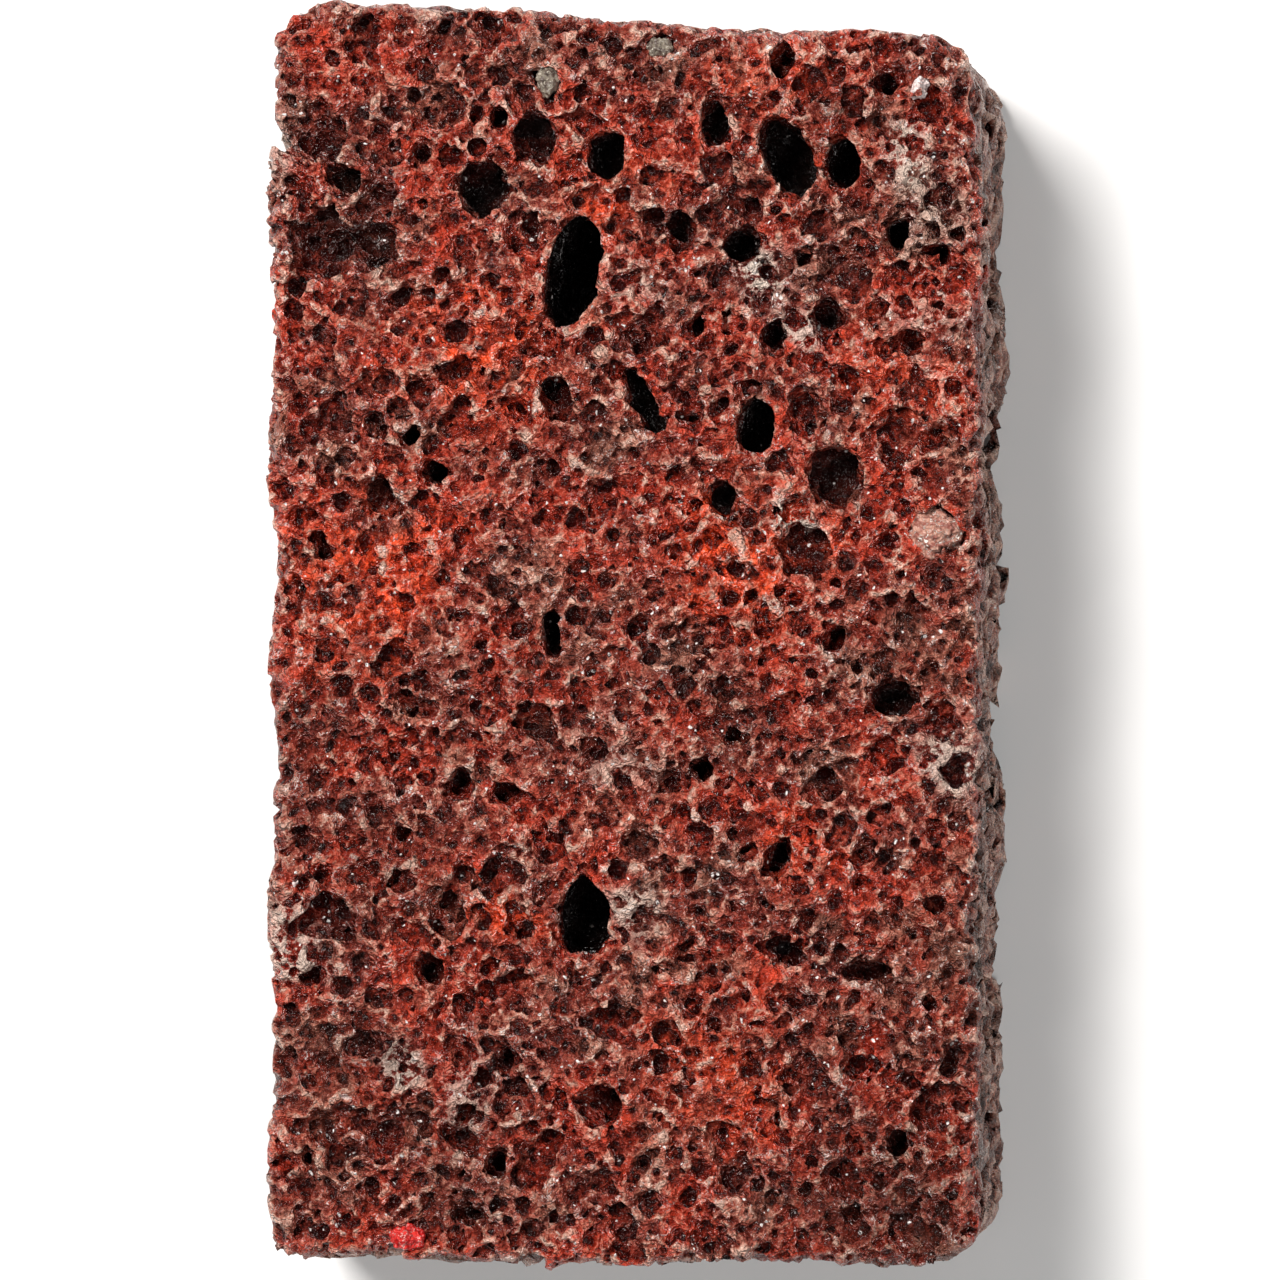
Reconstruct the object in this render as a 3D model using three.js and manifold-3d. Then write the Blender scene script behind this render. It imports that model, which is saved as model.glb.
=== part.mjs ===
// A bar of red vesicular lava stone for scrubbing, sawn from the block and tumbled, in millimetres.
// +X is the width, +Y the length and +Z the thickness. The bar lies on its back face at z = 0, with
// the origin under the middle of its box.

import * as THREE from 'three';
import { mergeVertices } from 'three/addons/utils/BufferGeometryUtils.js';
import Module from 'manifold-3d';

// Driving dimensions of the bar.
const LENGTH = 100.4;
const WIDTH = 55.9;
const THICKNESS = 25;
const EDGE_RADIUS = 2.4;
const TOP_SLOPE = 0.068;
const RIGHT_LEAN = 0.012;
const SEGMENTS = { x: 12, y: 18, z: 6 };

// Radii of the four upright corners: [left, right], at the top end and at the bottom end.
const TOP_CORNERS = [6.5, 6];
const BOTTOM_CORNERS = [2.6, 5];

// The saw and tumbling marks: amplitude and wavelength of the waves on the walls and on the front.
const WALL_WAVE = { height: 0.25, length: 17 };
const FRONT_WAVE = { height: 0.3, length: 23 };

// Clearance between a grain and the socket that it sits in.
const SOCKET_GAP = 0.3;

// How far below the face a pore's middle lies, as a share of its own depth.
const UNDERCUT = 0.25;

// A pore this wide or wider gets the rounder bubble.
const WIDE_PORE = 3.4;

const STONE_RED = 0x7a3f37;

// The open gas bubbles of the front face: middle, size across and along, depth and turn in degrees.
const FRONT_PORES = [
  { at: [-3.9, 28.1], size: [3.9, 8.0], depth: 7.5, turn: -12 },
  { at: [-3.1, -22.6], size: [3.9, 6.0], depth: 7.0, turn: 0 },
  { at: [13.1, 37.0], size: [3.0, 6.0], depth: 6.0, turn: 28 },
  { at: [17.4, 36.5], size: [3.0, 4.2], depth: 5.0, turn: 0 },
  { at: [-1.3, 37.1], size: [3.4, 4.0], depth: 4.5, turn: 0 },
  { at: [-7.0, 38.6], size: [3.7, 4.4], depth: 2.6, turn: 0 },
  { at: [-11.3, 34.6], size: [3.8, 4.0], depth: 3.4, turn: 0 },
  { at: [10.5, 15.6], size: [3.3, 4.0], depth: 5.5, turn: 0 },
  { at: [7.9, 10.3], size: [2.3, 2.6], depth: 4.5, turn: 0 },
  { at: [16.8, 11.9], size: [3.9, 4.6], depth: 3.2, turn: 20 },
  { at: [14.5, 6.2], size: [3.6, 3.6], depth: 2.4, turn: 0 },
  { at: [9.3, 30.1], size: [3.4, 3.2], depth: 3.6, turn: 0 },
  { at: [4.6, 31.4], size: [2.4, 2.9], depth: 2.6, turn: 0 },
  { at: [1.6, 17.9], size: [1.5, 5.6], depth: 4.0, turn: 27 },
  { at: [7.4, 39.6], size: [1.9, 3.6], depth: 3.4, turn: 0 },
  { at: [12.7, 44.6], size: [2.0, 2.3], depth: 2.6, turn: 0 },
  { at: [20.8, 42.7], size: [1.9, 2.0], depth: 3.0, turn: 0 },
  { at: [21.7, 30.8], size: [2.0, 2.4], depth: 3.2, turn: 0 },
  { at: [24.8, 29.2], size: [2.4, 2.0], depth: 3.0, turn: 0 },
  { at: [16.2, 24.6], size: [2.6, 2.6], depth: 3.2, turn: 0 },
  { at: [11.9, 22.9], size: [2.1, 1.9], depth: 3.4, turn: 0 },
  { at: [22.6, 22.4], size: [2.1, 2.2], depth: 2.2, turn: 0 },
  { at: [5.7, 23.5], size: [1.4, 1.8], depth: 2.0, turn: 0 },
  { at: [-9.8, 40.1], size: [1.5, 2.1], depth: 2.2, turn: 0 },
  { at: [-22.0, 35.4], size: [3.4, 2.2], depth: 2.6, turn: -25 },
  { at: [-16.0, 37.5], size: [1.6, 2.0], depth: 2.0, turn: 0 },
  { at: [-26.0, 26.8], size: [1.7, 1.6], depth: 1.8, turn: 0 },
  { at: [-5.2, 18.3], size: [2.4, 3.2], depth: 2.4, turn: 0 },
  { at: [-16.8, 15.3], size: [1.8, 1.7], depth: 3.0, turn: 0 },
  { at: [-14.7, 12.4], size: [1.9, 2.0], depth: 3.2, turn: 10 },
  { at: [-24.0, 6.6], size: [1.1, 3.7], depth: 2.4, turn: 28 },
  { at: [-19.0, 10.5], size: [1.7, 3.5], depth: 2.0, turn: 20 },
  { at: [-5.6, -0.6], size: [1.3, 3.6], depth: 3.6, turn: 8 },
  { at: [-7.0, -7.0], size: [3.2, 2.4], depth: 1.9, turn: 0 },
  { at: [-12.9, -12.0], size: [1.9, 2.1], depth: 2.8, turn: 0 },
  { at: [-9.2, -13.0], size: [2.4, 2.0], depth: 2.2, turn: 0 },
  { at: [21.2, -5.5], size: [4.8, 3.2], depth: 2.8, turn: 0 },
  { at: [6.4, -11.1], size: [1.7, 1.7], depth: 2.6, turn: 0 },
  { at: [16.8, -0.8], size: [1.5, 2.2], depth: 2.2, turn: 0 },
  { at: [-15.1, -26.9], size: [2.1, 2.1], depth: 2.8, turn: 0 },
  { at: [-20.5, -32.7], size: [3.1, 2.0], depth: 2.0, turn: -15 },
  { at: [-9.3, -33.8], size: [1.2, 2.4], depth: 2.4, turn: 0 },
  { at: [-1.7, -37.4], size: [3.6, 3.4], depth: 2.2, turn: 0 },
  { at: [-12.7, -40.2], size: [3.2, 2.1], depth: 2.2, turn: -20 },
  { at: [-10.0, -42.1], size: [1.5, 1.7], depth: 2.4, turn: 0 },
  { at: [12.3, -17.9], size: [2.2, 2.5], depth: 2.6, turn: 0 },
  { at: [13.0, -25.2], size: [3.4, 1.9], depth: 3.4, turn: -24 },
  { at: [19.4, -26.8], size: [4.0, 1.5], depth: 3.0, turn: 0 },
  { at: [25.2, -21.8], size: [2.4, 2.0], depth: 2.0, turn: 0 },
  { at: [21.7, -40.2], size: [1.7, 2.9], depth: 2.4, turn: 0 },
  { at: [18.1, -46.0], size: [1.8, 1.8], depth: 2.0, turn: 0 },
  { at: [-12.4, -46.1], size: [2.4, 1.5], depth: 1.8, turn: 0 },
];

// How many pores lie on each face that is seen less, and the range of their widths and depths.
const SIDE_PORES = { count: 8, width: [1.8, 3.2], depth: [1.6, 3.0] };
const END_PORES = { count: 4, width: [1.8, 3.0], depth: [1.6, 2.8] };
const BACK_PORES = { count: 14, width: [1.8, 3.8], depth: [1.6, 3.4] };

// The foreign grains: middle, half sizes, turn in degrees and colour.
const GRAINS = [
  {
    name: 'grey_glass_grain',
    at: [-5.9, 42.9, 24.1],
    half: [1.0, 1.25, 1.0],
    turn: 20,
    color: 0x9a9a8c,
  },
  {
    name: 'grey_rock_grain',
    at: [3.0, 45.6, 24.0],
    half: [0.85, 0.95, 0.8],
    turn: 60,
    color: 0x8b8173,
  },
  {
    name: 'white_feldspar_grain',
    at: [23.4, 42.2, 24.0],
    half: [0.8, 1.0, 0.75],
    turn: -30,
    color: 0xd9c8c4,
  },
  {
    name: 'white_edge_grain',
    at: [-26.6, -19.9, 23.9],
    half: [0.95, 0.75, 0.75],
    turn: 0,
    color: 0xeeeae4,
  },
  {
    name: 'pale_tuff_fragment',
    at: [24.7, 7.5, 23.6],
    half: [2.2, 2.3, 1.5],
    turn: 35,
    color: 0xb79a84,
  },
  {
    name: 'red_oxide_nodule',
    at: [-17.1, -48.0, 23.8],
    half: [1.35, 1.0, 1.0],
    turn: 0,
    color: 0xd83a34,
  },
];

const { PI, abs, cos, hypot, max, min, sin, sqrt } = Math;
const wasm = await Module();
wasm.setup();

// Turns a closed geometry into a solid that can be joined and cut.
function toSolid(geometry) {
  const bare = geometry.clone();
  bare.deleteAttribute('normal');
  bare.deleteAttribute('uv');
  const merged = mergeVertices(bare, 1e-4);
  const vertProperties = new Float32Array(merged.attributes.position.array);
  const triVerts = new Uint32Array(merged.index.array);
  return new wasm.Manifold(new wasm.Mesh({ numProp: 3, vertProperties, triVerts }));
}

// Turns a solid back into a geometry.
function toGeometry(solid) {
  const { vertProperties, triVerts } = solid.getMesh();
  const geometry = new THREE.BufferGeometry();
  geometry.setAttribute('position', new THREE.BufferAttribute(vertProperties, 3));
  geometry.setIndex(new THREE.BufferAttribute(triVerts, 1));
  geometry.computeVertexNormals();
  return geometry;
}

// Packs evenly spaced grid lines towards both ends, where the rounded edges need them.
function towardsEnds(t) {
  return sin((PI / 2) * t);
}

// The radius of the upright corner nearest to a point.
function cornerRadius(x, y) {
  const pair = y > 0 ? TOP_CORNERS : BOTTOM_CORNERS;
  return x < 0 ? pair[0] : pair[1];
}

// Rounds the upright corner that a point of the square outline belongs to.
function roundCorner(x, y) {
  const r = cornerRadius(x, y);
  const fromX = max(abs(x) - (WIDTH / 2 - r), 0);
  const fromY = max(abs(y) - (LENGTH / 2 - r), 0);
  const reach = hypot(fromX, fromY);
  if (reach === 0) {
    return { x, y, inside: min(WIDTH / 2 - abs(x), LENGTH / 2 - abs(y)), out: outwards(x, y) };
  }
  const scale = max(fromX, fromY) / reach;
  const signX = Math.sign(x);
  const signY = Math.sign(y);
  return {
    x: x - signX * fromX * (1 - scale),
    y: y - signY * fromY * (1 - scale),
    inside: r - reach * scale,
    out: [(signX * fromX) / reach, (signY * fromY) / reach],
  };
}

// The way out of the outline through its nearest straight side.
function outwards(x, y) {
  if (WIDTH / 2 - abs(x) < LENGTH / 2 - abs(y)) {
    return [Math.sign(x), 0];
  }
  return [0, Math.sign(y)];
}

// Rounds the long edge between a wall and the front or back face.
function roundEdge(point, z) {
  const deep = THICKNESS / 2 - abs(z);
  const acrossEdge = EDGE_RADIUS - point.inside;
  const alongEdge = EDGE_RADIUS - deep;
  if (acrossEdge <= 0 || alongEdge <= 0) {
    return { x: point.x, y: point.y, z };
  }
  const scale = max(acrossEdge, alongEdge) / hypot(acrossEdge, alongEdge);
  const pull = acrossEdge * (1 - scale);
  const drop = alongEdge * (1 - scale);
  return {
    x: point.x - point.out[0] * pull,
    y: point.y - point.out[1] * pull,
    z: z - Math.sign(z) * drop,
  };
}

// The uneven finish of the walls and front face. The back is ground flat, so that the bar lies still.
function weather(p) {
  const wall = WALL_WAVE.height * sin((2 * PI * (p.y + 0.4 * p.z)) / WALL_WAVE.length);
  const end = WALL_WAVE.height * cos((2 * PI * (p.x - 0.3 * p.z)) / WALL_WAVE.length);
  const sideShare = (p.x / (WIDTH / 2)) ** 3;
  const endShare = (p.y / (LENGTH / 2)) ** 5;
  const x = p.x + wall * sideShare + (p.x > 0 ? RIGHT_LEAN * p.y * sideShare : 0);
  const topDrop = p.y > 0 ? TOP_SLOPE * (p.x + WIDTH / 2) * endShare : 0;
  const y = p.y + end * endShare - topDrop;
  const frontShare = max(p.z / (THICKNESS / 2), 0) ** 3;
  const across = sin((2 * PI * p.x) / FRONT_WAVE.length);
  const along = cos((2 * PI * p.y) / FRONT_WAVE.length);
  const z = p.z + FRONT_WAVE.height * (across * along - 1) * frontShare;
  return [x, y, z];
}

// The sawn and tumbled bar without its pores, on z = 0 and centred over the origin.
function makeBlock() {
  const block = new THREE.BoxGeometry(2, 2, 2, SEGMENTS.x, SEGMENTS.y, SEGMENTS.z);
  const position = block.attributes.position;
  for (let i = 0; i < position.count; i += 1) {
    const x = towardsEnds(position.getX(i)) * (WIDTH / 2);
    const y = towardsEnds(position.getY(i)) * (LENGTH / 2);
    const z = towardsEnds(position.getZ(i)) * (THICKNESS / 2);
    position.setXYZ(i, ...weather(roundEdge(roundCorner(x, y), z)));
  }
  return settle(block);
}

// Moves a geometry so that its box stands on z = 0, centred over the origin.
function settle(geometry) {
  geometry.computeBoundingBox();
  const middle = geometry.boundingBox.getCenter(new THREE.Vector3());
  return geometry.translate(-middle.x, -middle.y, -geometry.boundingBox.min.z);
}

// A gas bubble: an uneven ball, rounder when it is wide, and no two alike.
function makeBubble(size, depth, turn, seed) {
  const wide = max(...size) >= WIDE_PORE;
  const bubble = wide ? new THREE.IcosahedronGeometry(1, 1) : new THREE.DodecahedronGeometry(1, 0);
  const position = bubble.attributes.position;
  for (let i = 0; i < position.count; i += 1) {
    const [x, y, z] = [position.getX(i), position.getY(i), position.getZ(i)];
    const swell = 1 + 0.09 * sin(3 * x + seed) * cos(2.5 * y - 2 * seed) + 0.05 * sin(4 * z + seed);
    position.setXYZ(i, x * swell, y * swell, z * swell);
  }
  bubble.scale(size[0] / 2, size[1] / 2, depth / (1 + UNDERCUT));
  bubble.translate(0, 0, (-depth * UNDERCUT) / (1 + UNDERCUT));
  return bubble.rotateZ(THREE.MathUtils.degToRad(turn));
}

// The faces that the pores open into: each turns a bubble's +Z to the way out and moves it there.
const FACES = {
  front: { turn: [0, 0, 0], at: (u, v) => [u, v, THICKNESS - FRONT_WAVE.height] },
  back: { turn: [PI, 0, 0], at: (u, v) => [u, v, 0] },
  left: { turn: [0, -PI / 2, 0], at: (u, v) => [-WIDTH / 2 + 0.2, u, v] },
  right: { turn: [0, PI / 2, 0], at: (u, v) => [WIDTH / 2 - 0.3, u, v] },
  bottom: { turn: [PI / 2, 0, 0], at: (u, v) => [u, -LENGTH / 2 + 0.3, v] },
  top: { turn: [-PI / 2, 0, 0], at: (u, v) => [u, LENGTH / 2 - TOP_SLOPE * (u + WIDTH / 2), v] },
};

// A pore cutter, set into its face.
function makePore(face, u, v, pore, seed) {
  const cutter = makeBubble(pore.size, pore.depth, pore.turn, seed);
  cutter.applyMatrix4(new THREE.Matrix4().makeRotationFromEuler(new THREE.Euler(...face.turn)));
  return toSolid(cutter.translate(...face.at(u, v)));
}

// Picks a value between two limits from a share between 0 and 1.
function between([low, high], share) {
  return low + (high - low) * share;
}

// Pores spread over a rectangle of a face by the golden ratio, so that they never line up.
function scatterPores(face, halfU, [lowV, highV], plan) {
  const golden = (sqrt(5) - 1) / 2;
  return Array.from({ length: plan.count }, (unused, i) => {
    const share = (i + 0.5) / plan.count;
    const width = between(plan.width, (i * golden * 3.7) % 1);
    const pore = {
      size: [width, width * between([0.75, 1.3], (i * golden * 5.3) % 1)],
      depth: between(plan.depth, (i * golden * 2.9) % 1),
      turn: 0,
    };
    const u = between([-halfU, halfU], share);
    const v = between([lowV, highV], (i * golden) % 1);
    return makePore(face, u, v, pore, i);
  });
}

// Cuts away, one by one, a list of solids from another.
function cutAll(solid, cutters) {
  return cutters.reduce((rest, cutter) => rest.subtract(cutter), solid);
}

// An angular mineral grain, grown by a margin all round when it serves as its own socket's cutter.
function makeGrain(grain, margin) {
  const geometry = new THREE.DodecahedronGeometry(1, 0);
  geometry.scale(...grain.half.map((half) => half + margin));
  geometry.rotateZ(THREE.MathUtils.degToRad(grain.turn));
  return geometry.translate(...grain.at);
}

// All the cutters of the pores on the six faces.
function makePores() {
  const front = FRONT_PORES.map((pore, i) => makePore(FACES.front, ...pore.at, pore, i));
  const rim = 5;
  const wallSpan = [rim, THICKNESS - rim];
  const longHalf = LENGTH / 2 - 8;
  const endHalf = WIDTH / 2 - 8;
  return [
    ...front,
    ...scatterPores(FACES.back, endHalf, [-longHalf, longHalf], BACK_PORES),
    ...scatterPores(FACES.left, longHalf, wallSpan, SIDE_PORES),
    ...scatterPores(FACES.right, longHalf, wallSpan, SIDE_PORES),
    ...scatterPores(FACES.bottom, endHalf, wallSpan, END_PORES),
    ...scatterPores(FACES.top, endHalf, wallSpan, END_PORES),
  ];
}

// The whole stone, with its pores and the sockets of its grains.
function makeStone() {
  const sockets = GRAINS.map((grain) => toSolid(makeGrain(grain, SOCKET_GAP)));
  return toGeometry(cutAll(toSolid(makeBlock()), [...makePores(), ...sockets]));
}

// A named mesh with its own finish.
function makePiece(name, geometry, color, roughness) {
  const material = new THREE.MeshStandardMaterial({ color, roughness, metalness: 0 });
  const mesh = new THREE.Mesh(geometry, material);
  mesh.name = name;
  return mesh;
}

const bar = new THREE.Group();
bar.name = 'lava_pumice_bar';
bar.add(makePiece('lava_stone_block', makeStone(), STONE_RED, 0.7));
for (const grain of GRAINS) {
  bar.add(makePiece(grain.name, makeGrain(grain, 0), grain.color, 0.4));
}

export default bar;
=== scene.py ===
"""A bar of red vesicular lava stone with its foreign mineral grains, lying on a pale floor.

The stone is made the way the real one came about. A sawn block is rounded and worn, gas bubbles of
every size are cut out of it as solids, its skin is foamed by ever finer bubbles, and the mesh is
then thinned with most of its faces kept for the front. Sizes are in millimetres until a mesh is
made. The block takes its size, and the front its wide bubbles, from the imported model.
"""

import logging
import math
import random
from dataclasses import dataclass, field
from enum import Enum

import bmesh
import bpy
import numpy as np
from mathutils import Euler, Matrix, Vector
from mathutils.bvhtree import BVHTree


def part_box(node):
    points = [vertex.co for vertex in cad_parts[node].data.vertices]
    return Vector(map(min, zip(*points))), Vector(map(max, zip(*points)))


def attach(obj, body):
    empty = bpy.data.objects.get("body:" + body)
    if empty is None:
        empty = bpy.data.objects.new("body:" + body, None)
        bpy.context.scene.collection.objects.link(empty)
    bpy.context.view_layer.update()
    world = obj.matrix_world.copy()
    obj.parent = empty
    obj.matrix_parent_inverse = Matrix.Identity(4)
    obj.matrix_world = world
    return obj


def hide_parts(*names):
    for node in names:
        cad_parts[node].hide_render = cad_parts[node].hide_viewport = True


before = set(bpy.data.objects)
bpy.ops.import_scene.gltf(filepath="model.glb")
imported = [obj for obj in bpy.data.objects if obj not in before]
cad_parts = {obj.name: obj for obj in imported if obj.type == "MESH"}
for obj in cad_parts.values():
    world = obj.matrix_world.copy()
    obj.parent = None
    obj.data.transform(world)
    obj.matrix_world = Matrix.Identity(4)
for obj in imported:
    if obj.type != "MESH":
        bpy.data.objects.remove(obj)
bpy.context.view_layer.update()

log = logging.getLogger("lava_bar")

MM = 0.001
ROOT = "root"

Colour = tuple[float, float, float]
Triple = tuple[float, float, float]


def linear(red: float, green: float, blue: float) -> tuple[float, float, float, float]:
    """Turns a display colour into the linear colour that a shader takes.

    Args:
        red: Red from 0 to 255.
        green: Green from 0 to 255.
        blue: Blue from 0 to 255.

    Returns:
        Linear red, green, blue and an alpha of 1.
    """

    def one(value: float) -> float:
        """Turns one channel from screen to light values."""
        share = value / 255
        return share / 12.92 if share <= 0.04045 else ((share + 0.055) / 1.055) ** 2.4

    return one(red), one(green), one(blue), 1.0


def smoothstep(low: float, high: float, values: np.ndarray) -> np.ndarray:
    """Eases values from 0 at one limit to 1 at the other."""
    share = np.clip((values - low) / (high - low), 0, 1)
    return share * share * (3 - 2 * share)


# Meshes --------------------------------------------------------------------------------------------


def link(name: str, mesh: bpy.types.Mesh) -> bpy.types.Object:
    """Puts a mesh into the scene as an object of its own name at the origin."""
    piece = bpy.data.objects.new(name, mesh)
    bpy.context.scene.collection.objects.link(piece)
    return piece


def from_bmesh(name: str, bm: bmesh.types.BMesh) -> bpy.types.Object:
    """Makes an object of a bmesh and frees the bmesh."""
    mesh = bpy.data.meshes.new(name)
    bm.to_mesh(mesh)
    bm.free()
    return link(name, mesh)


def bake_modifiers(piece: bpy.types.Object) -> None:
    """Applies all of a piece's modifiers to its mesh."""
    depsgraph = bpy.context.evaluated_depsgraph_get()
    finished = bpy.data.meshes.new_from_object(piece.evaluated_get(depsgraph))
    piece.modifiers.clear()
    rough = piece.data
    piece.data = finished
    bpy.data.meshes.remove(rough)


def points_of(mesh: bpy.types.Mesh) -> np.ndarray:
    """Gives a mesh's vertices as rows of x, y and z, in metres."""
    flat = np.empty(len(mesh.vertices) * 3, np.float32)
    mesh.vertices.foreach_get("co", flat)
    return flat.reshape(-1, 3).astype(np.float64)


def normals_of(mesh: bpy.types.Mesh) -> np.ndarray:
    """Gives a mesh's vertex normals as rows of x, y and z."""
    flat = np.empty(len(mesh.vertices) * 3, np.float32)
    mesh.vertex_normals.foreach_get("vector", flat)
    return flat.reshape(-1, 3).astype(np.float64)


def move_points(mesh: bpy.types.Mesh, points: np.ndarray) -> None:
    """Moves a mesh's vertices to new places."""
    mesh.vertices.foreach_set("co", points.astype(np.float32).ravel())
    mesh.update()


def relief_of(mesh: bpy.types.Mesh, rounds: int) -> np.ndarray:
    """Measures how far each vertex stands out of its surroundings.

    Args:
        mesh: The mesh to measure.
        rounds: How many times the surroundings are averaged, each time one edge wider.

    Returns:
        The height above the surroundings, in millimetres: more than 0 on a ridge.
    """
    pairs = np.empty(len(mesh.edges) * 2, np.int32)
    mesh.edges.foreach_get("vertices", pairs)
    start, end = pairs.reshape(-1, 2).T
    points = points_of(mesh)
    count = np.bincount(start, minlength=len(points)) + np.bincount(end, minlength=len(points))
    smooth = points.copy()
    for _ in range(rounds):
        total = [
            np.bincount(start, smooth[end, i], len(points))
            + np.bincount(end, smooth[start, i], len(points))
            for i in range(3)
        ]
        smooth = np.stack(total, 1) / count[:, None]
    return np.einsum("ij,ij->i", points - smooth, normals_of(mesh)) / MM


def remesh(piece: bpy.types.Object, voxel: float) -> None:
    """Rebuilds a closed piece from even square faces.

    Args:
        piece: The piece to rebuild.
        voxel: The faces' size in millimetres.
    """
    modifier = piece.modifiers.new("even_faces", "REMESH")
    modifier.mode = "VOXEL"
    modifier.voxel_size = voxel * MM
    bake_modifiers(piece)


# Natural shapes ------------------------------------------------------------------------------------


@dataclass(frozen=True)
class Ripple:
    """A smooth random unevenness that fills space.

    Attributes:
        height: The largest rise and fall, in millimetres.
        length: The usual distance from crest to crest, in millimetres.
        seed: Picks one of the many possible ripples.
    """

    height: float
    length: float
    seed: int
    WAVES = 9

    def at(self, points: np.ndarray) -> np.ndarray:
        """Gives the rise or fall, in metres, at rows of points in metres."""
        rng = np.random.default_rng(self.seed)
        total = np.zeros(len(points))
        for _ in range(self.WAVES):
            way = rng.normal(size=3)
            way *= rng.uniform(0.7, 1.4) / np.linalg.norm(way)
            phase = rng.uniform(0, 2 * math.pi)
            total += np.sin(points @ way * (2 * math.pi / (self.length * MM)) + phase)
        return total * (self.height * MM / math.sqrt(self.WAVES))


@dataclass(frozen=True)
class Froth:
    """Fine bubbles that fill space, one in each cell of a grid, and that a surface cuts open.

    Attributes:
        cell: The grid's pitch, in millimetres.
        smallest: The smallest bubble's radius, as a share of the cell.
        largest: The largest bubble's radius, as a share of the cell.
        strength: How much of each bubble's real depth is cut.
        seed: Picks the places and sizes.
    """

    cell: float
    smallest: float
    largest: float
    strength: float
    seed: int

    def depth(self, points: np.ndarray, outward: np.ndarray) -> np.ndarray:
        """Finds how far below the surface each point's bubble ends.

        Args:
            points: Rows of surface points, in metres.
            outward: The surface's outward direction at each point.

        Returns:
            The depth at each point, in metres, and 0 where no bubble is.
        """
        grid = points / (self.cell * MM)
        home = np.floor(grid).astype(np.int64)
        deepest = np.zeros(len(points))
        steps = (-1, 0, 1)
        for step in ((i, j, k) for i in steps for j in steps for k in steps):
            cell = home + np.array(step)
            shares = self._random(cell)
            middle = cell + shares[:, :3]
            radius = self.smallest + (self.largest - self.smallest) * shares[:, 3] ** 2
            away = grid - middle
            rise = np.einsum("ij,ij->i", away, outward)
            spread = np.einsum("ij,ij->i", away, away)
            root = np.sqrt(np.maximum(radius**2 - spread + rise**2, 0))
            deepest = np.maximum(deepest, np.where(spread < radius**2, rise + root, 0))
        return deepest * (self.cell * MM * self.strength)

    def _random(self, cell: np.ndarray) -> np.ndarray:
        """Gives four even random numbers from 0 to 1 for each cell."""
        mixed = cell @ np.array([73856093, 19349663, 83492791]) + self.seed * 26544357
        columns = []
        for turn in range(4):
            mixed = (mixed * 1103515245 + 12345 + turn * 7919) & 0x7FFFFFFF
            mixed ^= mixed >> 11
            columns.append((mixed & 0xFFFFF) / 0xFFFFF)
        return np.stack(columns, 1)


class BubbleDetail(Enum):
    """How finely a bubble is faceted: the subdivisions of its ball."""

    SMALL = 2
    MEDIUM = 3
    LARGE = 4


@dataclass(frozen=True)
class Bubble:
    """A gas bubble that is cut out of the stone.

    Attributes:
        centre: Its middle, in millimetres.
        radii: Its three half sizes before it is turned, in millimetres.
        turn: Its turn about X, Y and Z, in radians.
        seed: Picks its dents.
    """

    centre: Triple
    radii: Triple
    turn: Triple
    seed: int

    @property
    def reach(self) -> float:
        """The radius of a ball that holds the bubble with its dents, in millimetres."""
        return max(self.radii) * 1.25

    @property
    def detail(self) -> BubbleDetail:
        """The faceting that suits the bubble's size."""
        size = max(self.radii)
        if size > 1.9:
            return BubbleDetail.LARGE
        return BubbleDetail.MEDIUM if size > 0.9 else BubbleDetail.SMALL


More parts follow.
